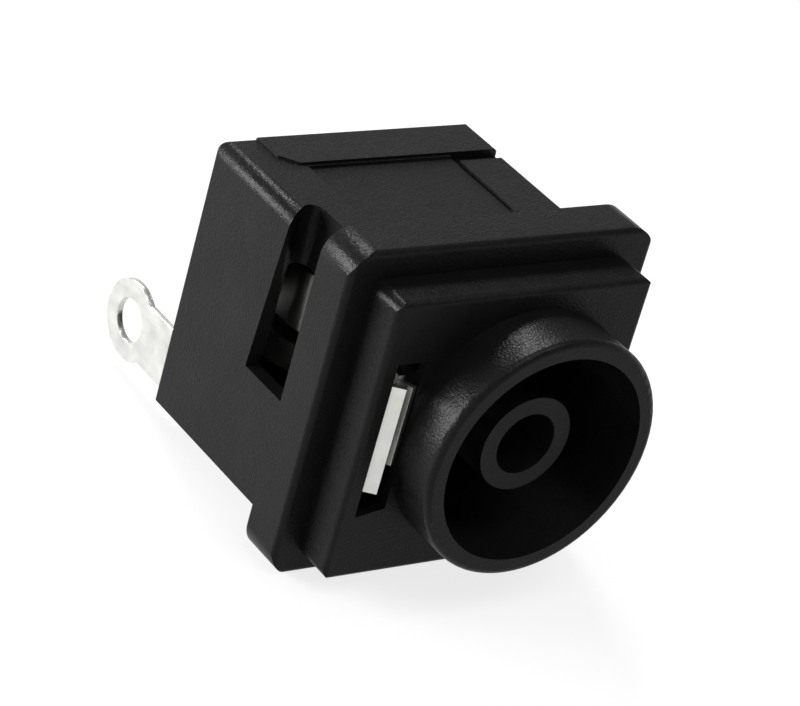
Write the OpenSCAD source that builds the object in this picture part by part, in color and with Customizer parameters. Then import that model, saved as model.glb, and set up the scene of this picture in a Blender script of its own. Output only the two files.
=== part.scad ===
// Panel-mount dc barrel jack with a round cup, a hollow centre post and two eyelet terminals.
// Frame: the origin is on the barrel's axis in the plane of the flange's back face.
// The mouth faces -Y, +X runs to the right seen from the front and +Z is up.

/* [Flange and step plate] */
// Width of the flange
flange_w = 10.8; // [10:0.1:13]
// Height of the flange
flange_h = 10.7; // [10.4:0.1:13]
// Thickness of the flange
flange_t = 1.5; // [1:0.1:3]
// Corner radius of the flange
flange_corner_r = 0.85; // [0.4:0.05:1.5]
// Width of the step plate, which is also the width of the body
plate_w = 9.1; // [8.9:0.1:9.8]
// Height of the step plate
plate_h = 9.2; // [9:0.1:10]
// Thickness of the step plate
plate_t = 1.35; // [1:0.05:2.5]
// Corner radius of the step plate
plate_corner_r = 0.4; // [0.2:0.05:1]
// Rounding of the front edges of both plates
front_edge_r = 0.2; // [0.1:0.05:0.3]
// How far the flange and the body sit to the left of the barrel's axis
side_shift = 0.67; // [0.5:0.01:0.75]

/* [Body] */
// Depth of the body behind the flange
body_d = 6.9; // [6.5:0.1:10]
// Height of the body's top face above the barrel's axis
body_top = 4.38; // [4.3:0.01:4.5]
// Depth of the body's bottom face below the barrel's axis
body_bottom = 4.52; // [4.3:0.01:4.6]
// Rounding of the body's long upper left edge
long_edge_r = 0.5; // [0.2:0.05:0.7]
// Rounding of the body's other rear and upper edges
rear_edge_r = 0.15; // [0.1:0.05:0.3]

/* [Barrel and cup] */
// Outside radius of the barrel
barrel_r = 3.95; // [3.7:0.05:4.3]
// Length of the barrel in front of the step plate
barrel_len = 1.8; // [1:0.1:4]
// Radius of the cup that takes the plug
cup_r = 3.38; // [3.2:0.01:3.5]
// Thickness of the wall behind the cup
cup_floor_t = 1.9; // [1.5:0.1:2.5]
// Rounding of the barrel's rim
rim_r = 0.22; // [0.1:0.02:0.3]

/* [Centre post] */
// Outside radius of the centre post
post_r = 1.55; // [1.5:0.05:1.8]
// How far the post's end lies behind the barrel's rim
post_recess = 0.9; // [0.5:0.1:2]
// Radius of the mouth in the post's end
mouth_r = 1; // [0.9:0.02:1]
// Length of that mouth
mouth_len = 1.2; // [0.8:0.1:2]

/* [Top face] */
// Depth of the label floor and height of the rear band
relief = 0.08; // [0.05:0.01:0.15]
// Depth of the rear band, front to back
band_d = 1.7; // [1:0.1:2.5]
// Depth of the grooves round the pad on the right
groove_depth = 0.2; // [0.1:0.01:0.4]

/* [Side window and front slot] */
// Length of the side window behind the flange
window_d = 3; // [2:0.05:3.5]
// Depth of the side window into the left wall
window_in = 1.08; // [0.9:0.02:1.3]
// Height of the window's sill below the barrel's axis
window_sill = 0.95; // [0.8:0.05:1.3]
// Width of the front slot
slot_w = 1; // [0.9:0.05:1.2]
// Top of the front slot above the barrel's axis
slot_top = 2.6; // [2.2:0.05:2.9]
// Bottom of the front slot below the barrel's axis
slot_bottom = 2.48; // [2.45:0.01:2.7]

/* [Sleeve spring] */
// Thickness of the spring's sheet
sheet_t = 0.2; // [0.15:0.01:0.25]
// Distance from the body's left face to the spring's sheet
spring_inset = 0.5; // [0.45:0.01:0.6]
// Lower edge of the long finger
finger_bottom = -0.06; // [-0.2:0.02:0.2]
// Upper edge of the long finger
finger_top = 1.85; // [1.5:0.05:1.95]
// Distance of the contact point from the barrel's axis
contact_r = 2.64; // [2.6:0.01:2.75]
// Width of the short finger
short_finger_w = 0.9; // [0.5:0.05:1]

/* [Pin socket] */
// Outside radius of the rolled socket
socket_r = 1.18; // [1.17:0.01:1.22]
// Thickness of the socket's wall
socket_t = 0.2; // [0.15:0.01:0.25]
// Thickness of the socket's tail
tail_t = 0.3; // [0.2:0.02:0.4]

/* [Terminals] */
// Distance from the body's rear face to the end of a terminal
terminal_len = 4.15; // [3.8:0.05:6]
// Outside radius of the eyelet
eyelet_r = 1.32; // [1.1:0.02:1.4]
// Radius of the eyelet's hole
eyelet_hole_r = 0.72; // [0.5:0.02:0.8]
// Width of the terminal's neck
neck_w = 2; // [1.4:0.1:2]

/* [Hidden] */
$fn = 64;
// Overlap of solids that join
eps = 0.05;
// How far a cutter stands out into open air
clear = 1;
// Play between a sheet-metal piece and the slot that it is pushed into
slot_play = 0.02;

body_left = -side_shift - plate_w / 2;
body_right = body_left + plate_w;
plate_front = -flange_t - plate_t;
rim_y = plate_front - barrel_len;
cup_floor_y = body_d - cup_floor_t;
post_end_y = rim_y + post_recess;

// Flange and body
flange_rise = 0.105;
band_top = body_top + relief;

// Top face
band_front = body_d - band_d;
band_left = body_left + 1.35;
band_mitre = 0.5;
label_left = body_left + 2.07;
label_right = 2.08;
label_front = 1.6;
label_rear = band_front - 0.1;
groove_w = 0.1;
pad_left = label_right + groove_w;
pad_front = 1.45;
pad_rear = band_front - 0.4;
pad_corner_r = 0.45;

// Side window
window_inner = body_left + window_in;
window_slant = 0.35;
window_corner_r = 0.35;

// Sleeve spring, from the front to the rear
sheet_left = body_left + spring_inset;
sheet_right = sheet_left + sheet_t;
sheet_mid = sheet_left + sheet_t / 2;
slot_left = sheet_left + 0.04;
slot_right = slot_left + slot_w;
slot_slant = 0.18;
slot_root = 0.35;
channel_front = plate_front + 0.3;
channel_top = finger_top + 0.6;
entry_top = finger_top + 0.1;
strip_bottom = -slot_bottom + slot_play;
strip_top = -window_sill - 0.75;
hook_corner_y = plate_front + 0.5;
hook_tip = [slot_left + 0.62, plate_front + 0.1];
hook_bottom = -1.78;
hook_top = 1.72;
hook_plate_rear = hook_corner_y + 0.75;
hook_neck_front = hook_corner_y + 0.2;
hook_end_y = plate_front - 1;
finger_x = sheet_right + 1;
finger_bend_y = 3.45;
finger_turn_y = cup_floor_y + 0.2;
contact_x = -contact_r - sheet_t / 2;
contact_y = 1.8;
flare_start = [slot_right - 0.32, plate_front + 0.55];
flare_tip = [slot_right - 0.12, plate_front + 0.08];
flare_bottom = -0.95;
flare_top = 1.74;
flare_foot = 0.1;
finger_shoulder = 0.6;
short_finger_bottom = strip_top + 0.1;
short_finger_top = short_finger_bottom + short_finger_w;
short_bend_y = 4.13;
short_contact_y = 2.4;
short_tip = [contact_x - 0.45, 0.9];
bend_reach = 0.25;
bend_steps = 6;
root_seat_y = cup_floor_y + 0.2;
root_bar_y = body_d - 0.9;
root_overlap_y = root_bar_y + 0.4;
root_bottom = -slot_bottom - 1.42;
root_top = entry_top + 0.3;

// Pin socket
chamber_r = socket_r + slot_play;
chamber_front = post_end_y + mouth_len;
socket_front = chamber_front + 0.9;
socket_rear = cup_floor_y;
socket_neck_y = socket_front + 0.6;
socket_taper_y = socket_front + 1.5;
socket_neck_r = 0.55;
socket_flare_r = 0.8;
socket_slit_end = socket_front + 3.5;
socket_slit_w = 0.25;
shoulder_y = cup_floor_y + 0.4;
shoulder_h = 2 * socket_r + 0.8;
tail_grip = 1.4;

// Terminals
terminal_end = body_d + terminal_len;
eyelet_y = terminal_end - eyelet_r;
spring_eyelet_z = -3.51;

// A rectangle with rounded corners, centred on the origin
module rounded_rect(w, h, r) {
    square([w - 2 * r, h], center = true);
    square([w, h - 2 * r], center = true);
    for (sx = [-1, 1], sy = [-1, 1])
        translate([sx * (w / 2 - r), sy * (h / 2 - r)])
            circle(r = r);
}

// The side view of a plate whose two front edges are rounded: w across, from 0 to t deep
module plate_profile(w, t, r) {
    translate([-w / 2, r])
        square([w, t - r]);
    translate([-w / 2 + r, 0])
        square([w - 2 * r, t]);
    for (side = [-1, 1])
        translate([side * (w / 2 - r), r])
            circle(r = r);
}

// An upright plate from y = 0 to y = t with round corners and rounded front edges
module rounded_plate(w, h, t, corner_r, edge_r) {
    intersection() {
        translate([0, t, 0])
            rotate([90, 0, 0])
                linear_extrude(t)
                    rounded_rect(w, h, corner_r);
        translate([0, 0, -h / 2])
            linear_extrude(h)
                plate_profile(w, t, edge_r);
        rotate([0, 90, 0])
            translate([0, 0, -w / 2])
                linear_extrude(w)
                    plate_profile(h, t, edge_r);
    }
}

// A bar along Y from y0 to y1 with a round section
module rod(r, y0, y1) {
    translate([0, y1, 0])
        rotate([90, 0, 0])
            cylinder(r = r, h = y1 - y0);
}

// A block given by its lowest and highest corners
module block(low, high) {
    translate(low)
        cube(high - low);
}

module flange() {
    translate([-side_shift, -flange_t, flange_rise])
        rounded_plate(flange_w, flange_h, flange_t, flange_corner_r, front_edge_r);
}

module step_plate() {
    translate([-side_shift, plate_front, 0])
        rounded_plate(plate_w, plate_h, plate_t + eps, plate_corner_r, front_edge_r);
}

module barrel() {
    rotate([90, 0, 0])
        rotate_extrude($fn = 128)
            difference() {
                union() {
                    square([barrel_r, -rim_y - rim_r]);
                    square([barrel_r - rim_r, -rim_y]);
                    translate([barrel_r - rim_r, -rim_y - rim_r])
                        circle(r = rim_r);
                }
                square([cup_r / 2, -rim_y + eps]);
            }
}

// The body's plan, with a small round at its rear left corner
module body_plan() {
    translate([body_left, -eps])
        square([plate_w, body_d - rear_edge_r + eps]);
    translate([body_left + rear_edge_r, 0])
        square([plate_w - rear_edge_r, body_d]);
    translate([body_left + rear_edge_r, body_d - rear_edge_r])
        circle(r = rear_edge_r);
}

// The body's cross-section up to a height, drawn as (x, z), with its two upper corners rounded
module body_section(top) {
    translate([body_left, -body_bottom])
        square([plate_w, top + body_bottom - long_edge_r]);
    translate([body_left + long_edge_r, -body_bottom])
        square([plate_w - long_edge_r - rear_edge_r, top + body_bottom]);
    translate([body_left + long_edge_r, top - long_edge_r])
        circle(r = long_edge_r);
    translate([body_right - long_edge_r, -body_bottom])
        square([long_edge_r, top + body_bottom - rear_edge_r]);
    translate([body_right - rear_edge_r, top - rear_edge_r])
        circle(r = rear_edge_r);
}

// The body's side view up to a height, drawn as (y, z), with its upper rear corner rounded
module body_profile(top) {
    translate([-eps, -body_bottom])
        square([body_d + eps - rear_edge_r, top + body_bottom]);
    translate([0, -body_bottom])
        square([body_d, top + body_bottom - rear_edge_r]);
    translate([body_d - rear_edge_r, top - rear_edge_r])
        circle(r = rear_edge_r);
}

// A block over the whole plan of the body up to a height, with rounded upper edges
module body_block(top) {
    intersection() {
        translate([0, 0, -body_bottom])
            linear_extrude(top + body_bottom)
                body_plan();
        translate([0, body_d, 0])
            rotate([90, 0, 0])
                linear_extrude(body_d + eps)
                    body_section(top);
        sheet(body_left, plate_w)
            body_profile(top);
    }
}

// The raised band along the rear of the top face, with a mitred left end
module rear_band() {
    intersection() {
        body_block(band_top);
        translate([0, 0, body_top - clear])
            linear_extrude(clear + relief)
                polygon([
                    [band_left + band_mitre, band_front],
                    [body_right, band_front],
                    [body_right, body_d],
                    [band_left, body_d],
                    [band_left, band_front + band_mitre]
                ]);
    }
}

// The outline of the pad on the right of the top face, with a round front left corner
module pad_outline(left, front, corner_r) {
    translate([left, front + corner_r])
        square([body_right + clear - left, pad_rear - front - corner_r]);
    translate([left + corner_r, front])
        square([body_right + clear - left - corner_r, pad_rear - front]);
    translate([left + corner_r, front + corner_r])
        circle(r = corner_r);
}

// The sunk label floor, and the grooves that set off the pad on the right
module top_cuts() {
    block([label_left, label_front, body_top - relief], [label_right, label_rear, body_top + clear]);
    translate([0, 0, body_top - groove_depth])
        linear_extrude(groove_depth + clear)
            difference() {
                pad_outline(label_right, pad_front - groove_w, pad_corner_r + groove_w);
                pad_outline(pad_left, pad_front, pad_corner_r);
            }
    block([label_right, pad_rear, body_top - groove_depth],
          [body_right + clear, band_front, body_top + clear]);
}

// The window in the left wall, open through the top face, whose rear wall slopes forward to the top left
module side_window() {
    block_left = body_left - clear;
    slope_y = window_slant * (window_in - window_corner_r + clear) / (window_in - window_corner_r);
    translate([0, 0, -window_sill])
        linear_extrude(body_top + window_sill + clear)
            union() {
                polygon([
                    [block_left, 0],
                    [window_inner, 0],
                    [window_inner, window_d - window_corner_r],
                    [window_inner - window_corner_r, window_d],
                    [block_left, window_d - slope_y]
                ]);
                translate([window_inner - window_corner_r, window_d - window_corner_r])
                    circle(r = window_corner_r);
            }
    sheet(block_left, window_in + clear)
        polygon([
            [0, -window_sill],
            [window_d, -window_sill],
            [window_d - window_slant, body_top],
            [0, body_top]
        ]);
}

// The slot in the step plate through which the front of the spring shows
module front_slot() {
    translate([0, plate_front + plate_t, 0])
        rotate([90, 0, 0])
            linear_extrude(plate_t + slot_root)
                polygon([
                    [slot_left, -slot_bottom],
                    [slot_right, -slot_bottom + slot_slant],
                    [slot_right, slot_top],
                    [slot_left, slot_top]
                ]);
}

// The channel in the left wall that the fingers work in, from the plate to the cup's floor
module finger_channel() {
    block([sheet_left, channel_front, -slot_bottom], [0, cup_floor_y, channel_top]);
}

// The way in for the spring through the rear wall: a window and the narrow slot that grips the root
module rear_entry() {
    block([sheet_left, cup_floor_y - eps, strip_top],
          [finger_x + sheet_t / 2 + eps, body_d + clear, entry_top]);
    block([sheet_left, cup_floor_y - eps, -slot_bottom],
          [sheet_right + slot_play, body_d + clear, root_top + slot_play]);
    block([sheet_left, root_seat_y, root_bottom - slot_play],
          [sheet_right + slot_play, body_d + clear, 0]);
}

// The chamber of the pin socket and the upright slot for the shoulders of its tail
module socket_chamber() {
    rod(chamber_r, chamber_front, body_d + clear);
    block([-tail_t / 2 - slot_play, shoulder_y, -shoulder_h / 2 - slot_play],
          [tail_t / 2 + slot_play, body_d + clear, shoulder_h / 2 + slot_play]);
}

module housing() {
    color("#1d1d1f")
        difference() {
            union() {
                difference() {
                    union() {
                        flange();
                        step_plate();
                        barrel();
                        body_block(body_top);
                        rear_band();
                    }
                    rod(cup_r, rim_y - clear, cup_floor_y);
                    finger_channel();
                    side_window();
                    front_slot();
                    top_cuts();
                    rear_entry();
                }
                rod(post_r, post_end_y, cup_floor_y + eps);
            }
            rod(mouth_r, post_end_y - clear, chamber_front + eps);
            socket_chamber();
        }
}

function unit(v) = v / norm(v);

// A path whose inner corners are rounded over a given reach
function bent(path, reach) = concat(
    [path[0]],
    [for (i = [1 : len(path) - 2], k = [0 : bend_steps])
        let (
            corner = path[i],
            from = corner + reach * unit(path[i - 1] - corner),
            to = corner + reach * unit(path[i + 1] - corner),
            s = k / bend_steps
        )
        (1 - s) * (1 - s) * from + 2 * s * (1 - s) * corner + s * s * to],
    [path[len(path) - 1]]
);

// The path moved sideways by d
function beside(path, d) = [
    for (i = [0 : len(path) - 1])
        let (along = unit(path[min(i + 1, len(path) - 1)] - path[max(i - 1, 0)]))
        path[i] + d * [-along[1], along[0]]
];

function reversed(list) = [for (i = [len(list) - 1 : -1 : 0]) list[i]];

// The edge of a bent sheet along a path in plan
module ribbon(path) {
    smooth = bent(path, bend_reach);
    polygon(concat(beside(smooth, sheet_t / 2), reversed(beside(smooth, -sheet_t / 2))));
}

// A flat sheet in an upright plane along Y, from x to x + t, whose outline is drawn as (y, z)
module sheet(x, t) {
    translate([x, 0, 0])
        rotate([90, 0, 90])
            linear_extrude(t)
                children();
}

// A spring leaf: a path in plan, cut to an outline drawn as (y, z)
module leaf(path, outline) {
    intersection() {
        translate([0, 0, root_bottom])
            linear_extrude(root_top - root_bottom)
                ribbon(path);
        sheet(sheet_left - clear, -sheet_left + clear)
            polygon(outline);
    }
}

// A terminal's eyelet and its neck, drawn as (y, z) and centred on a height
module eyelet_outline(from_y, z) {
    difference() {
        union() {
            translate([from_y, z - neck_w / 2])
                square([eyelet_y - from_y, neck_w]);
            translate([eyelet_y, z])
                circle(r = eyelet_r);
        }
        translate([eyelet_y, z])
            circle(r = eyelet_hole_r);
    }
}

module sleeve_spring() {
    color("#c9ccce") {
        sheet(sheet_left, sheet_t) {
            // Strip along the wall, with the upright that carries the hook
            polygon([
                [hook_plate_rear, strip_top],
                [hook_plate_rear, hook_top],
                [hook_neck_front, hook_top],
                [hook_neck_front, strip_bottom],
                [root_bar_y, strip_bottom],
                [root_bar_y, strip_top]
            ]);
            // Root that the rear wall grips
            polygon([
                [root_seat_y, root_bottom],
                [body_d + eps, root_bottom],
                [body_d + eps, root_top],
                [root_bar_y, root_top],
                [root_bar_y, strip_top],
                [root_seat_y, strip_top]
            ]);
            eyelet_outline(body_d, spring_eyelet_z);
        }
        leaf(
            [
                [sheet_mid, hook_plate_rear],
                [sheet_mid, hook_corner_y],
                hook_tip
            ],
            [
                [hook_end_y, hook_bottom],
                [hook_plate_rear, hook_bottom],
                [hook_plate_rear, hook_top],
                [hook_end_y, hook_top]
            ]
        );
        leaf(
            [
                [sheet_mid, root_overlap_y],
                [sheet_mid, root_bar_y],
                [finger_x, finger_turn_y],
                [finger_x, finger_bend_y],
                [contact_x, contact_y],
                flare_start,
                flare_tip
            ],
            [
                [root_overlap_y, finger_bottom],
                [root_overlap_y, finger_top],
                [flare_start[1], finger_top],
                [flare_start[1], flare_top],
                [hook_end_y, flare_top],
                [hook_end_y, flare_bottom + flare_foot],
                [flare_tip[1], flare_bottom + flare_foot],
                [flare_start[1], flare_bottom],
                [flare_start[1] + flare_foot, flare_bottom],
                [flare_start[1] + finger_shoulder, finger_bottom]
            ]
        );
        leaf(
            [
                [sheet_mid, root_overlap_y],
                [sheet_mid, root_bar_y],
                [finger_x, finger_turn_y],
                [finger_x, short_bend_y],
                [contact_x, short_contact_y],
                short_tip
            ],
            [
                [root_overlap_y, short_finger_bottom],
                [root_overlap_y, short_finger_top],
                [short_tip[1] - clear, short_finger_top],
                [short_tip[1] - clear, short_finger_bottom]
            ]
        );
    }
}

// The rolled tube's section, drawn as (radius, depth in front of the origin)
module socket_section() {
    polygon([
        [socket_r, -socket_rear],
        [socket_r, -socket_taper_y],
        [socket_neck_r + socket_t, -socket_neck_y],
        [socket_flare_r + socket_t, -socket_front],
        [socket_flare_r, -socket_front],
        [socket_neck_r, -socket_neck_y],
        [socket_r - socket_t, -socket_taper_y],
        [socket_r - socket_t, -socket_rear]
    ]);
}

module pin_socket() {
    color("#c9ccce")
        union() {
            difference() {
                rotate([90, 0, 0])
                    rotate_extrude()
                        socket_section();
                block([-socket_slit_w / 2, socket_front - clear, -socket_r - clear],
                      [socket_slit_w / 2, socket_slit_end, socket_r + clear]);
                block([-socket_r - clear, socket_front - clear, -socket_slit_w / 2],
                      [socket_r + clear, socket_slit_end, socket_slit_w / 2]);
            }
            sheet(-tail_t / 2, tail_t) {
                translate([socket_rear - tail_grip, -socket_r + socket_t / 2])
                    square([shoulder_y - socket_rear + tail_grip + eps, 2 * socket_r - socket_t]);
                translate([shoulder_y, -shoulder_h / 2])
                    square([body_d - shoulder_y, shoulder_h]);
                eyelet_outline(shoulder_y, 0);
            }
        }
}

housing();
sleeve_spring();
pin_socket();
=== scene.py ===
"""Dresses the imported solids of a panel-mount dc barrel jack: moulded housing, spring and pin socket.

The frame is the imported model's own: the origin lies on the barrel's axis in the plane of the flange's
back face, the mouth faces -Y and +Z is up. Every length is in metres.
"""

import logging
import math
from dataclasses import dataclass
from enum import Enum
from typing import ClassVar, Optional, Union

import bmesh
import bpy
from mathutils import Matrix, Vector


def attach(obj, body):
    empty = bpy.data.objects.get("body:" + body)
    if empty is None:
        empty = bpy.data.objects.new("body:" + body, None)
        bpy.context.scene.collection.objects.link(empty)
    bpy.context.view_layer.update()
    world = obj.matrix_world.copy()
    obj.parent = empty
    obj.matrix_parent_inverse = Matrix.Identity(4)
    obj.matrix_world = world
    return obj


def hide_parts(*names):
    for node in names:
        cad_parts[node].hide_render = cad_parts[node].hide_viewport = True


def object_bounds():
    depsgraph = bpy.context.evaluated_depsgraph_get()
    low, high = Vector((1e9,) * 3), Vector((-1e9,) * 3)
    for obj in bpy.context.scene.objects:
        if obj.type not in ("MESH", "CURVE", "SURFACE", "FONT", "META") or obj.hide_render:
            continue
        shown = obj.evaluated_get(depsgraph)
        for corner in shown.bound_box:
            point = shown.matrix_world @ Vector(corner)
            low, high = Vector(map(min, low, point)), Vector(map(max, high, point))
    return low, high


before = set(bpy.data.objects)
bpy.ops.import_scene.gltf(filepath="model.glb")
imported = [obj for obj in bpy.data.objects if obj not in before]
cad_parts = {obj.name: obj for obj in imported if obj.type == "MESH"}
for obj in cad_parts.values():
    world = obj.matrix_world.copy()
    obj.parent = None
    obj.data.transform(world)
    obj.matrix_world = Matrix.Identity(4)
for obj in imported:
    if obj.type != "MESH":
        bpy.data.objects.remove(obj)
CAD_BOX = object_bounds()

MM = 0.001
BODY = "root"
LOG = logging.getLogger("barrel_jack")
# The level that a noise texture varies about
MEAN = 0.5
# How near two corners are when they are one, in a mesh that the script makes
WELD = 0.0005 * MM

Number = Union[int, float]
Value = Union[int, float, bpy.types.NodeSocket]


# ---------------------------------------------------------------------------------------------------
# Shader expressions
# ---------------------------------------------------------------------------------------------------


class NodeTree:
    """A node tree of any kind, with one way to add any node."""

    def __init__(self, tree: bpy.types.NodeTree) -> None:
        """Clears the tree.

        Args:
            tree: The tree to build in.
        """
        self.tree = tree
        tree.nodes.clear()

    def node(self, kind: str, settings: Optional[dict] = None,
             inputs: Optional[dict] = None) -> bpy.types.Node:
        """Adds a node, sets its settings and then fills or links its sockets.

        Args:
            kind: The node's type name.
            settings: The node's own properties, and "stops" for a colour ramp.
            inputs: Socket names or numbers, each with a value, an Expression or an output socket.

        Returns:
            The new node.
        """
        made = self.tree.nodes.new(kind)
        for name, value in (settings or {}).items():
            if name == "stops":
                self._set_stops(made.color_ramp, value)
            else:
                setattr(made, name, value)
        for name, value in (inputs or {}).items():
            socket = made.inputs[name]
            if isinstance(value, Expression):
                self.tree.links.new(value.socket, socket)
            elif isinstance(value, bpy.types.NodeSocket):
                self.tree.links.new(value, socket)
            else:
                socket.default_value = value
        return made

    @staticmethod
    def _set_stops(ramp: bpy.types.ColorRamp, stops: list) -> None:
        """Gives a colour ramp its stops.

        Args:
            ramp: The ramp to change.
            stops: Pairs of a position and a grey level or a colour.
        """
        while len(ramp.elements) < len(stops):
            ramp.elements.new(1.0)
        for element, (position, level) in zip(ramp.elements, stops):
            element.position = position
            element.color = level if isinstance(level, tuple) else (level, level, level, 1.0)

    def value(self, socket: bpy.types.NodeSocket) -> "Expression":
        """Wraps an output socket as an expression."""
        return Expression(self, socket)


class Expression:
    """A numeric output socket that adds Math nodes when it is used with operators."""

    def __init__(self, owner: NodeTree, socket: bpy.types.NodeSocket) -> None:
        """Wraps a socket.

        Args:
            owner: The tree that the socket belongs to.
            socket: The output socket.
        """
        self.owner = owner
        self.socket = socket

    def _math(self, operation: str, *values: Union["Expression", Number], clamp: bool = False) -> "Expression":
        """Adds one Math node.

        Args:
            operation: The Math node's operation.
            values: Its inputs in order.
            clamp: Whether the result is held between 0 and 1.

        Returns:
            The result as an expression.
        """
        made = self.owner.node("ShaderNodeMath", {"operation": operation, "use_clamp": clamp},
                               dict(enumerate(values)))
        return Expression(self.owner, made.outputs[0])

    def __add__(self, other: Union["Expression", Number]) -> "Expression":
        """Adds."""
        return self._math("ADD", self, other)

    __radd__ = __add__

    def __sub__(self, other: Union["Expression", Number]) -> "Expression":
        """Subtracts."""
        return self._math("SUBTRACT", self, other)

    def __rsub__(self, other: Number) -> "Expression":
        """Subtracts from a number."""
        return self._math("SUBTRACT", other, self)

    def __mul__(self, other: Union["Expression", Number]) -> "Expression":
        """Multiplies."""
        return self._math("MULTIPLY", self, other)

    __rmul__ = __mul__

    def __truediv__(self, other: Union["Expression", Number]) -> "Expression":
        """Divides."""
        return self._math("DIVIDE", self, other)

    def __rtruediv__(self, other: Number) -> "Expression":
        """Divides a number."""
        return self._math("DIVIDE", other, self)

    def sine(self) -> "Expression":
        """The sine of an angle in radians."""
        return self._math("SINE", self)

    def cosine(self) -> "Expression":
        """The cosine of an angle in radians."""
        return self._math("COSINE", self)

    def ramp(self, low: "Value", high: "Value") -> "Expression":
        """Maps low to 0 and high to 1, held between them."""
        made = self.owner.node("ShaderNodeMapRange", {"clamp": True},
                               {"Value": self, "From Min": low, "From Max": high})
        return Expression(self.owner, made.outputs["Result"])


# ---------------------------------------------------------------------------------------------------
# Finishes
# ---------------------------------------------------------------------------------------------------


@dataclass(frozen=True)
class MouldedPlastic:
    """Black moulded plastic whose grain comes from a spark-eroded mould."""

    name: str
    base: float = 0.005
    roughness: float = 0.35
    specular: float = 0.09
    grain_size: float = 0.075 * MM
    grain_depth: float = 0.02 * MM
    wave_size: float = 0.55 * MM
    flow_size: float = 2.4 * MM
    coolness: float = 1.05
    darkest: float = 0.55
    lightest: float = 1.5
    flow_tint: float = 0.8
    grain_tint: float = 0.6
    wave_gloss: float = 0.2
    grain_gloss: float = 0.25
    grain_height: float = 0.8
    wave_height: float = 0.5
    octaves: float = 2.0
    wave_octaves: float = 3.0

    def build(self) -> bpy.types.Material:
        """Builds the material.

        Returns:
            The material.
        """
        material = bpy.data.materials.new(self.name)
        material.use_nodes = True
        tree = NodeTree(material.node_tree)
        place = tree.node("ShaderNodeTexCoord").outputs["Object"]
        grain = noise(tree, place, self.grain_size, self.octaves)
        wave = noise(tree, place, self.wave_size, self.wave_octaves)
        flow = noise(tree, place, self.flow_size, self.wave_octaves)
        dark = self.base * self.darkest
        light = self.base * self.lightest
        colour = tree.node("ShaderNodeMix", {"data_type": "RGBA"}, {
            "Factor": (flow - MEAN) * self.flow_tint + (grain - MEAN) * self.grain_tint + MEAN,
            "A": (dark, dark, dark * self.coolness, 1),
            "B": (light, light, light * self.coolness, 1),
        })
        bump = tree.node("ShaderNodeBump", {}, {
            "Strength": 1.0,
            "Distance": self.grain_depth,
            "Height": grain * self.grain_height + wave * self.wave_height,
        })
        shader = tree.node("ShaderNodeBsdfPrincipled", {}, {
            "Base Color": colour.outputs["Result"],
            "Roughness": ((wave - MEAN) * self.wave_gloss + (grain - MEAN) * self.grain_gloss
                          + self.roughness),
            "Specular IOR Level": self.specular,
            "Normal": bump.outputs["Normal"],
        })
        tree.node("ShaderNodeOutputMaterial", {}, {"Surface": shader.outputs["BSDF"]})
        return material


@dataclass(frozen=True)
class TinnedSheet:
    """Satin tin-plated spring sheet with a fine rolled grain."""

    name: str
    base: float = 0.62
    warmth: float = 0.96
    roughness: float = 0.34
    grain: float = 0.05 * MM
    stretch: float = 9.0
    cloud_size: float = 0.6 * MM
    octaves: float = 3.0
    dullest: float = 0.84
    brightest: float = 1.12
    cloud_tint: float = 1.4
    gloss_change: float = 0.15
    bump_strength: float = 0.5
    bump_depth: float = 0.002 * MM
    cloud_height: float = 0.5

    def build(self) -> bpy.types.Material:
        """Builds the material.

        Returns:
            The material.
        """
        material = bpy.data.materials.new(self.name)
        material.use_nodes = True
        tree = NodeTree(material.node_tree)
        place = tree.node("ShaderNodeTexCoord").outputs["Object"]
        along = tree.node("ShaderNodeMapping", {}, {
            "Vector": place, "Scale": (1.0, 1 / self.stretch, 1.0),
        }).outputs["Vector"]
        rolled = noise(tree, along, self.grain, self.octaves)
        cloud = noise(tree, place, self.cloud_size, self.octaves)
        dull = self.base * self.dullest
        bright = self.base * self.brightest
        colour = tree.node("ShaderNodeMix", {"data_type": "RGBA"}, {
            "Factor": (cloud - MEAN) * self.cloud_tint + MEAN,
            "A": (dull, dull, dull * self.warmth, 1),
            "B": (bright, bright, bright * self.warmth, 1),
        })
        bump = tree.node("ShaderNodeBump", {}, {
            "Strength": self.bump_strength,
            "Distance": self.bump_depth,
            "Height": rolled + cloud * self.cloud_height,
        })
        shader = tree.node("ShaderNodeBsdfPrincipled", {}, {
            "Base Color": colour.outputs["Result"],
            "Metallic": 1.0,
            "Roughness": ((rolled - MEAN) * self.gloss_change + (cloud - MEAN) * self.gloss_change
                          + self.roughness),
            "Normal": bump.outputs["Normal"],
        })
        tree.node("ShaderNodeOutputMaterial", {}, {"Surface": shader.outputs["BSDF"]})
        return material


def noise(tree: NodeTree, place: bpy.types.NodeSocket, size: float, octaves: float) -> Expression:
    """Adds a cloud of noise.

    Args:
        tree: The tree to build in.
        place: The coordinates.
        size: The size of one feature, in metres.
        octaves: How many finer octaves it has.

    Returns:
        The noise, between 0 and 1.
    """
    made = tree.node("ShaderNodeTexNoise", {"noise_dimensions": "3D"},
                     {"Vector": place, "Scale": 1 / size, "Detail": octaves})
    return tree.value(made.outputs["Fac"])


class Slot(Enum):
    """The record's material slots."""

    PLASTIC = "housing_plastic"
    METAL = "contact_metal"


# ---------------------------------------------------------------------------------------------------
# Pieces
# ---------------------------------------------------------------------------------------------------


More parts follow.
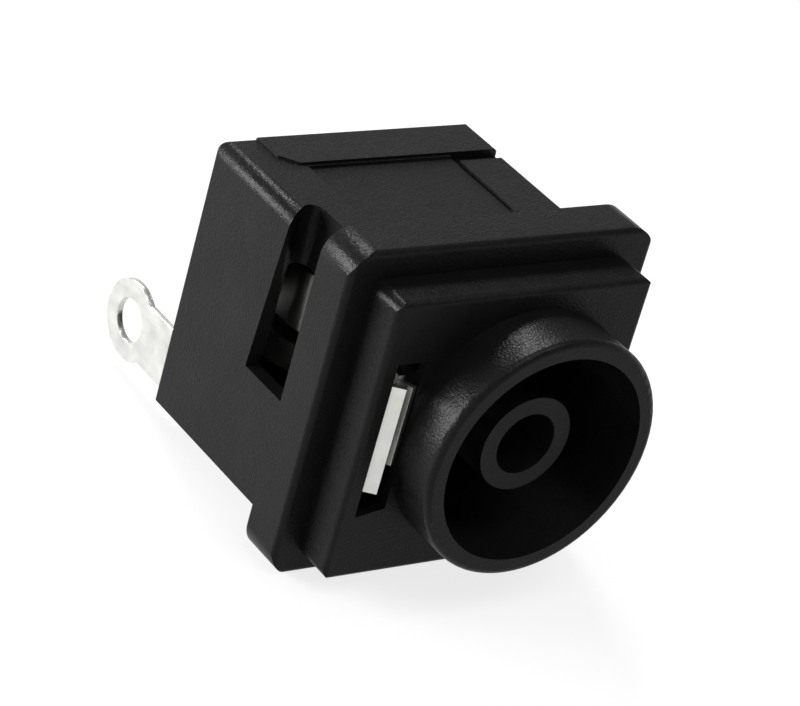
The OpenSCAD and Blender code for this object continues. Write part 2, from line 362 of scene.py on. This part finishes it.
def merged_copy(node: str, name: str, weld: float = 0.0008 * MM,
                flat: float = 0.2) -> bpy.types.Object:
    """Copies a CAD node's mesh, merges its loose triangles and dissolves its flat seams.

    Args:
        node: The CAD node's name.
        name: The new object's name.
        weld: How near two corners are when they are one.
        flat: The greatest turn, in degrees, of a seam that is dissolved.

    Returns:
        The new object, at the origin.
    """
    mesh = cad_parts[node].data.copy()
    mesh.name = name
    work = bmesh.new()
    work.from_mesh(mesh)
    bmesh.ops.remove_doubles(work, verts=work.verts, dist=weld)
    bmesh.ops.dissolve_limit(work, angle_limit=math.radians(flat), verts=work.verts, edges=work.edges)
    work.to_mesh(mesh)
    work.free()
    mesh.materials.clear()
    made = bpy.data.objects.new(name, mesh)
    bpy.context.scene.collection.objects.link(made)
    return made


def baked(source: bpy.types.Object) -> bpy.types.Object:
    """Turns an object's modifiers into plain mesh.

    Args:
        source: The object to change.

    Returns:
        The same object.
    """
    bpy.context.view_layer.update()
    graph = bpy.context.evaluated_depsgraph_get()
    result = bpy.data.meshes.new_from_object(source.evaluated_get(graph), depsgraph=graph)
    result.name = source.name
    source.modifiers.clear()
    source.data = result
    return source


def softened(made: bpy.types.Object, width: float, segments: int, angle: float = 28.0) -> bpy.types.Object:
    """Rounds an object's sharp edges and smooths its shading.

    Args:
        made: The object to change.
        width: The width of each rounded edge.
        segments: The faces across it.
        angle: The least turn, in degrees, of an edge that is rounded.

    Returns:
        The same object.
    """
    made.data.shade_smooth()
    bevel = made.modifiers.new("edges", "BEVEL")
    bevel.width = width
    bevel.segments = segments
    bevel.limit_method = "ANGLE"
    bevel.angle_limit = math.radians(angle)
    bevel.use_clamp_overlap = True
    bevel.miter_outer = "MITER_ARC"
    bevel.harden_normals = True
    flats = made.modifiers.new("flats", "WEIGHTED_NORMAL")
    flats.mode = "FACE_AREA_WITH_ANGLE"
    flats.weight = 100
    flats.keep_sharp = True
    return baked(made)


@dataclass
class Housing:
    """The one-piece moulding: body, flange, step plate, barrel, cup and post."""

    edge: float = 0.045 * MM
    edge_segments: int = 3

    def build(self, finish: MouldedPlastic) -> bpy.types.Object:
        """Builds and dresses the housing.

        Args:
            finish: The plastic.

        Returns:
            The piece.
        """
        piece = softened(merged_copy("housing", "moulded_housing"), self.edge, self.edge_segments)
        return finished(piece, finish.build(), "housing")


@dataclass
class SleeveSpring:
    """The stamped spring with its hook, two fingers and eyelet."""

    edge: float = 0.03 * MM
    edge_segments: int = 2

    def build(self, metal: bpy.types.Material) -> bpy.types.Object:
        """Builds and dresses the spring.

        Args:
            metal: Its finish.

        Returns:
            The piece.
        """
        piece = softened(merged_copy("sleeve_spring", "stamped_spring"), self.edge, self.edge_segments)
        return finished(piece, metal, "sleeve_spring")


@dataclass
class PinSocket:
    """The socket behind the post's mouth: a tube rolled from sheet, its fingers and its flat tail."""

    LENGTHS: ClassVar[tuple[str, ...]] = (
        "Radius", "Neck Radius", "Mouth Radius", "Front", "Neck", "Full", "Slit End", "Rear")

    radius: float = 1.08 * MM
    neck_radius: float = 0.65 * MM
    mouth_radius: float = 0.90 * MM
    sheet: float = 0.20 * MM
    front: float = -1.65 * MM
    neck: float = -1.05 * MM
    full: float = -0.15 * MM
    slit_end: float = 1.85 * MM
    rear: float = 5.0 * MM
    fingers: int = 4
    finger_columns: int = 14
    slit_columns: int = 2
    tail_half: float = 0.15 * MM
    tail_start: float = 3.6 * MM
    shoulder: float = 5.4 * MM
    body_rear: float = 6.9 * MM
    grip_half: float = 1.06 * MM
    shoulder_half: float = 1.58 * MM
    neck_half: float = 1.0 * MM
    eyelet_place: float = 9.73 * MM
    eyelet_radius: float = 1.32 * MM
    eyelet_hole: float = 0.72 * MM
    eyelet_steps: int = 48
    finger_rows: int = 28
    ring_rows: int = 6
    weld: float = 0.002 * MM
    edge: float = 0.03 * MM
    edge_segments: int = 2
    edge_angle: float = 40.0

    def build(self, metal: bpy.types.Material) -> bpy.types.Object:
        """Builds and dresses the socket.

        Args:
            metal: Its finish.

        Returns:
            The piece.
        """
        tube = self._tube(metal)
        tail = self._tail()
        work = bmesh.new()
        work.from_mesh(tube.data)
        work.from_mesh(tail.data)
        work.to_mesh(tube.data)
        work.free()
        bpy.data.objects.remove(tail)
        return finished(tube, metal, "pin_socket")

    def _tree(self, metal: bpy.types.Material) -> bpy.types.NodeTree:
        """Draws the rolled tube: one finger is laid round the axis, and a plain ring stands behind.

        Args:
            metal: The finish that the tree sets.

        Returns:
            The Geometry Nodes tree.
        """
        group = bpy.data.node_groups.new("rolled_fingers", "GeometryNodeTree")
        face = group.interface
        face.new_socket("Geometry", in_out="INPUT", socket_type="NodeSocketGeometry")
        face.new_socket("Fingers", in_out="INPUT", socket_type="NodeSocketInt")
        for name in self.LENGTHS:
            face.new_socket(name, in_out="INPUT", socket_type="NodeSocketFloat")
        face.new_socket("Geometry", in_out="OUTPUT", socket_type="NodeSocketGeometry")
        tree = NodeTree(group)
        given = tree.node("NodeGroupInput").outputs
        count = tree.value(given["Fingers"])
        columns = self.finger_columns + self.slit_columns
        share = self.finger_columns / columns
        turn = (math.tau * share) / count
        finger = self._rolled(tree, given, turn, given["Front"], given["Slit End"],
                              self.finger_columns, self.finger_rows)
        ring = self._rolled(tree, given, math.tau, given["Slit End"], given["Rear"],
                            columns * self.fingers, self.ring_rows)
        points = tree.node("GeometryNodePoints", {}, {"Count": count})
        index = tree.value(tree.node("GeometryNodeInputIndex").outputs["Index"])
        slit = math.tau * (1 - share) / 2
        angle = (index * math.tau + slit) / count
        around = tree.node("FunctionNodeEulerToRotation", {}, {
            "Euler": tree.node("ShaderNodeCombineXYZ", {}, {"Y": angle}).outputs[0]})
        laid = tree.node("GeometryNodeInstanceOnPoints", {}, {
            "Points": points.outputs[0], "Instance": finger, "Rotation": around.outputs[0]})
        joined = tree.node("GeometryNodeJoinGeometry")
        tree.tree.links.new(laid.outputs[0], joined.inputs[0])
        tree.tree.links.new(ring, joined.inputs[0])
        real = tree.node("GeometryNodeRealizeInstances", {}, {"Geometry": joined.outputs[0]})
        welded = tree.node("GeometryNodeMergeByDistance", {}, {
            "Geometry": real.outputs[0], "Distance": self.weld})
        dressed = tree.node("GeometryNodeSetMaterial", {}, {"Geometry": welded.outputs[0], "Material": metal})
        tree.node("NodeGroupOutput", {}, {0: dressed.outputs[0]})
        return group

    @staticmethod
    def _rolled(tree: NodeTree, given: bpy.types.bpy_prop_collection, turn: Union[Expression, float],
                start: bpy.types.NodeSocket, end: bpy.types.NodeSocket, columns: int,
                rows: int) -> bpy.types.NodeSocket:
        """Rolls a flat grid round the Y axis on the socket's profile.

        Args:
            tree: The tree to build in.
            given: The group's inputs.
            turn: How far round it goes, in radians.
            start: Its front end on Y.
            end: Its rear end on Y.
            columns: Faces round the axis.
            rows: Faces along it.

        Returns:
            The rolled sheet's geometry.
        """
        grid = tree.node("GeometryNodeMeshGrid", {}, {
            "Size X": 1.0, "Size Y": 1.0, "Vertices X": columns + 1, "Vertices Y": rows + 1})
        place = tree.node("ShaderNodeSeparateXYZ", {}, {0: tree.node("GeometryNodeInputPosition").outputs[0]})
        across = tree.value(place.outputs["X"]) + 0.5
        along = tree.value(place.outputs["Y"]) + 0.5
        depth = along * (tree.value(end) - tree.value(start)) + tree.value(start)
        radius = tree.value(given["Radius"])
        neck_radius = tree.value(given["Neck Radius"])
        widening = depth.ramp(given["Neck"], given["Full"])
        flare = depth.ramp(given["Neck"], given["Front"])
        wall = (radius - neck_radius) * widening + neck_radius
        wall = (tree.value(given["Mouth Radius"]) - neck_radius) * flare + wall
        angle = across * turn
        rolled = tree.node("ShaderNodeCombineXYZ", {}, {
            "X": angle.sine() * wall, "Y": depth, "Z": angle.cosine() * wall})
        return tree.node("GeometryNodeSetPosition", {}, {
            "Geometry": grid.outputs["Mesh"], "Position": rolled.outputs[0]}).outputs[0]

    def _tube(self, metal: bpy.types.Material) -> bpy.types.Object:
        """Makes the rolled tube and gives it the sheet's thickness.

        Args:
            metal: Its finish.

        Returns:
            The tube.
        """
        made = bpy.data.objects.new("rolled_socket", bpy.data.meshes.new("rolled_socket"))
        bpy.context.scene.collection.objects.link(made)
        modifier = made.modifiers.new("rolling", "NODES")
        modifier.node_group = self._tree(metal)
        names = ("Fingers", *self.LENGTHS)
        sizes = {name: getattr(self, name.lower().replace(" ", "_")) for name in names}
        for item in modifier.node_group.interface.items_tree:
            if item.in_out == "INPUT" and item.name in sizes:
                modifier[item.identifier] = sizes[item.name]
        baked(made)
        outward(made)
        wall = made.modifiers.new("wall", "SOLIDIFY")
        wall.thickness = self.sheet
        wall.offset = 0.0
        baked(made)
        return softened(made, self.edge, self.edge_segments, self.edge_angle)

    def _tail(self) -> bpy.types.Object:
        """Cuts the flat tail with its shoulders and eyelet.

        Returns:
            The tail.
        """
        steps = self.eyelet_steps
        reach = math.asin(self.neck_half / self.eyelet_radius)
        outline = [(self.tail_start, -self.grip_half), (self.shoulder, -self.grip_half),
                   (self.shoulder, -self.shoulder_half), (self.body_rear, -self.shoulder_half),
                   (self.body_rear, -self.neck_half)]
        for step in range(steps + 1):
            swing = -math.pi + reach + (math.tau - 2 * reach) * step / steps
            outline.append((self.eyelet_place + self.eyelet_radius * math.cos(swing),
                            self.eyelet_radius * math.sin(swing)))
        outline += [(self.body_rear, self.neck_half), (self.body_rear, self.shoulder_half),
                    (self.shoulder, self.shoulder_half), (self.shoulder, self.grip_half),
                    (self.tail_start, self.grip_half)]
        hole = [(self.eyelet_place + self.eyelet_hole * math.cos(math.tau * step / steps),
                 self.eyelet_hole * math.sin(math.tau * step / steps)) for step in range(steps)]
        curve = bpy.data.curves.new("tail", "CURVE")
        curve.dimensions = "2D"
        curve.fill_mode = "BOTH"
        curve.extrude = self.tail_half
        for ring in (outline, hole):
            spline = curve.splines.new("POLY")
            spline.points.add(len(ring) - 1)
            for point, (along, up) in zip(spline.points, ring):
                point.co = (along, up, 0.0, 1.0)
            spline.use_cyclic_u = True
        flat = bpy.data.objects.new("tail", curve)
        bpy.context.scene.collection.objects.link(flat)
        bpy.context.view_layer.update()
        mesh = bpy.data.meshes.new_from_object(flat.evaluated_get(bpy.context.evaluated_depsgraph_get()))
        mesh.transform(Matrix(((0, 0, 1, 0), (1, 0, 0, 0), (0, 1, 0, 0), (0, 0, 0, 1))))
        bpy.data.objects.remove(flat)
        made = bpy.data.objects.new("tail", mesh)
        bpy.context.scene.collection.objects.link(made)
        outward(made)
        return softened(made, self.edge, self.edge_segments, self.edge_angle)


def outward(made: bpy.types.Object) -> None:
    """Merges an object's doubles and turns its faces outwards.

    Args:
        made: The object to change.
    """
    work = bmesh.new()
    work.from_mesh(made.data)
    bmesh.ops.remove_doubles(work, verts=work.verts, dist=WELD)
    bmesh.ops.recalc_face_normals(work, faces=work.faces)
    work.to_mesh(made.data)
    work.free()


def finished(piece: bpy.types.Object, finish: bpy.types.Material, node: str) -> bpy.types.Object:
    """Dresses a piece and puts it in its CAD node's place.

    Args:
        piece: The piece.
        finish: Its material.
        node: The CAD node that it replaces.

    Returns:
        The piece.
    """
    piece.data.materials.clear()
    piece.data.materials.append(finish)
    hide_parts(node)
    return piece


# ---------------------------------------------------------------------------------------------------
# Studio
# ---------------------------------------------------------------------------------------------------


def seen_directly(tree: NodeTree) -> Expression:
    """1 for the rays by which a surround is seen: the camera's, mirrored and transmitted ones.

    Args:
        tree: The tree to build in.

    Returns:
        The mask.
    """
    path = tree.node("ShaderNodeLightPath")
    mask = tree.value(path.outputs["Is Camera Ray"]) + tree.value(path.outputs["Is Glossy Ray"])
    return (mask + tree.value(path.outputs["Is Transmission Ray"])).ramp(0.0, 1.0)


@dataclass(frozen=True)
class Softbox:
    """One area light that points at the object."""

    name: str
    azimuth: float
    elevation: float
    distance: float
    size: float
    power: float

    def build(self, aim: Vector) -> None:
        """Adds the light.

        Args:
            aim: The point that it faces.
        """
        lamp = bpy.data.lights.new(self.name, "AREA")
        lamp.shape = "DISK"
        lamp.size = self.size
        lamp.energy = self.power
        holder = bpy.data.objects.new(self.name, lamp)
        away = direction(self.azimuth, self.elevation)
        holder.location = aim + away * self.distance
        holder.rotation_euler = (-away).to_track_quat("-Z", "Y").to_euler()
        bpy.context.scene.collection.objects.link(holder)


def direction(azimuth: float, elevation: float) -> Vector:
    """The unit vector from the object towards a station.

    Args:
        azimuth: Degrees round from the front; positive goes to the right.
        elevation: Degrees above the horizon.

    Returns:
        The vector.
    """
    turn = math.radians(azimuth)
    rise = math.radians(elevation)
    return Vector((math.sin(turn) * math.cos(rise), -math.cos(turn) * math.cos(rise), math.sin(rise)))


@dataclass(frozen=True)
class Studio:
    """A pale floor, a white surround, soft lights and the camera."""

    azimuth: float = -41.533
    elevation: float = 27.933
    roll: float = 16.054
    distance: float = 97.56 * MM
    aim: tuple[float, float, float] = (-1.193 * MM, 1.174 * MM, 0.165 * MM)
    lens: float = 149.9
    sensor: float = 36.0
    floor_size: float = 0.8
    ambient: float = 0.3
    floor_glow: float = 0.8
    sky_low: float = 0.05
    sky_high: float = 0.4
    zenith: float = 0.3
    zenith_blue: float = 1.03
    floor_grey: float = 0.9
    near_clip: float = 0.005
    far_clip: float = 10.0
    lights: tuple[Softbox, ...] = (
        Softbox("left_box", -122, 8, 0.25, 0.16, 1.9),
        Softbox("rear_box", 164, 50, 0.3, 0.07, 0.55),
        Softbox("top_box", 10, 70, 0.3, 0.2, 0.45),
    )

    def build(self) -> None:
        """Builds the whole studio."""
        self._world()
        self._floor()
        self._camera()
        for light in self.lights:
            light.build(Vector(self.aim))
        bpy.context.scene.view_settings.view_transform = "Standard"

    def _world(self) -> None:
        """Makes the surround: a pale sky that is white near the horizon and dimmer as light."""
        world = bpy.data.worlds.new("surround")
        bpy.context.scene.world = world
        world.use_nodes = True
        tree = NodeTree(world.node_tree)
        way = tree.node("ShaderNodeTexCoord").outputs["Generated"]
        height = tree.value(tree.node("ShaderNodeSeparateXYZ", {}, {0: way}).outputs["Z"])
        sky = tree.node("ShaderNodeMix", {"data_type": "RGBA"}, {
            "Factor": height.ramp(self.sky_low, self.sky_high),
            "A": (1, 1, 1, 1),
            "B": (self.zenith, self.zenith, self.zenith * self.zenith_blue, 1),
        })
        shown = tree.node("ShaderNodeBackground", {}, {"Color": sky.outputs["Result"], "Strength": 1.0})
        light = tree.node("ShaderNodeBackground", {}, {"Color": (1, 1, 1, 1), "Strength": self.ambient})
        mix = tree.node("ShaderNodeMixShader", {}, {
            0: seen_directly(tree), 1: light.outputs[0], 2: shown.outputs[0]})
        tree.node("ShaderNodeOutputWorld", {}, {"Surface": mix.outputs[0]})

    def _floor(self) -> None:
        """Lays the floor under the object's lowest point."""
        low = CAD_BOX[0]
        half = self.floor_size / 2
        work = bmesh.new()
        bmesh.ops.create_grid(work, x_segments=1, y_segments=1, size=half)
        bmesh.ops.translate(work, verts=work.verts, vec=(0, 0, low[2]))
        mesh = bpy.data.meshes.new("floor")
        work.to_mesh(mesh)
        work.free()
        floor = bpy.data.objects.new("floor", mesh)
        bpy.context.scene.collection.objects.link(floor)
        material = bpy.data.materials.new("pale_floor")
        material.use_nodes = True
        tree = NodeTree(material.node_tree)
        matte = tree.node("ShaderNodeBsdfDiffuse", {}, {"Color": (self.floor_grey,) * 3 + (1,)})
        white = tree.node("ShaderNodeEmission", {}, {"Color": (1, 1, 1, 1), "Strength": 1.0})
        share = seen_directly(tree) * self.floor_glow
        mix = tree.node("ShaderNodeMixShader", {}, {0: share, 1: matte.outputs[0], 2: white.outputs[0]})
        tree.node("ShaderNodeOutputMaterial", {}, {"Surface": mix.outputs[0]})
        mesh.materials.append(material)

    def _camera(self) -> None:
        """Places the camera by its direction, roll and distance."""
        data = bpy.data.cameras.new("camera")
        data.lens = self.lens
        data.sensor_width = self.sensor
        data.clip_start = self.near_clip
        data.clip_end = self.far_clip
        away = direction(self.azimuth, self.elevation)
        side = Vector((0, 0, 1)).cross(away).normalized()
        rise = away.cross(side)
        turn = math.radians(self.roll)
        right = side * math.cos(turn) + rise * math.sin(turn)
        up = rise * math.cos(turn) - side * math.sin(turn)
        camera = bpy.data.objects.new("camera", data)
        placed = Matrix((right, up, away)).transposed().to_4x4()
        placed.translation = Vector(self.aim) + away * self.distance
        camera.matrix_world = placed
        bpy.context.scene.collection.objects.link(camera)
        bpy.context.scene.camera = camera


def main() -> None:
    """Builds the jack's visual pieces and the studio."""
    logging.basicConfig(level=logging.INFO, format="%(name)s: %(message)s")
    metal = TinnedSheet("tinned_sheet").build()
    pieces = [Housing().build(MouldedPlastic("black_moulding")), SleeveSpring().build(metal),
              PinSocket().build(metal)]
    for piece in pieces:
        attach(piece, BODY)
        LOG.info("%s: %d faces", piece.name, len(piece.data.polygons))
    Studio().build()


if __name__ == "__main__":
    main()
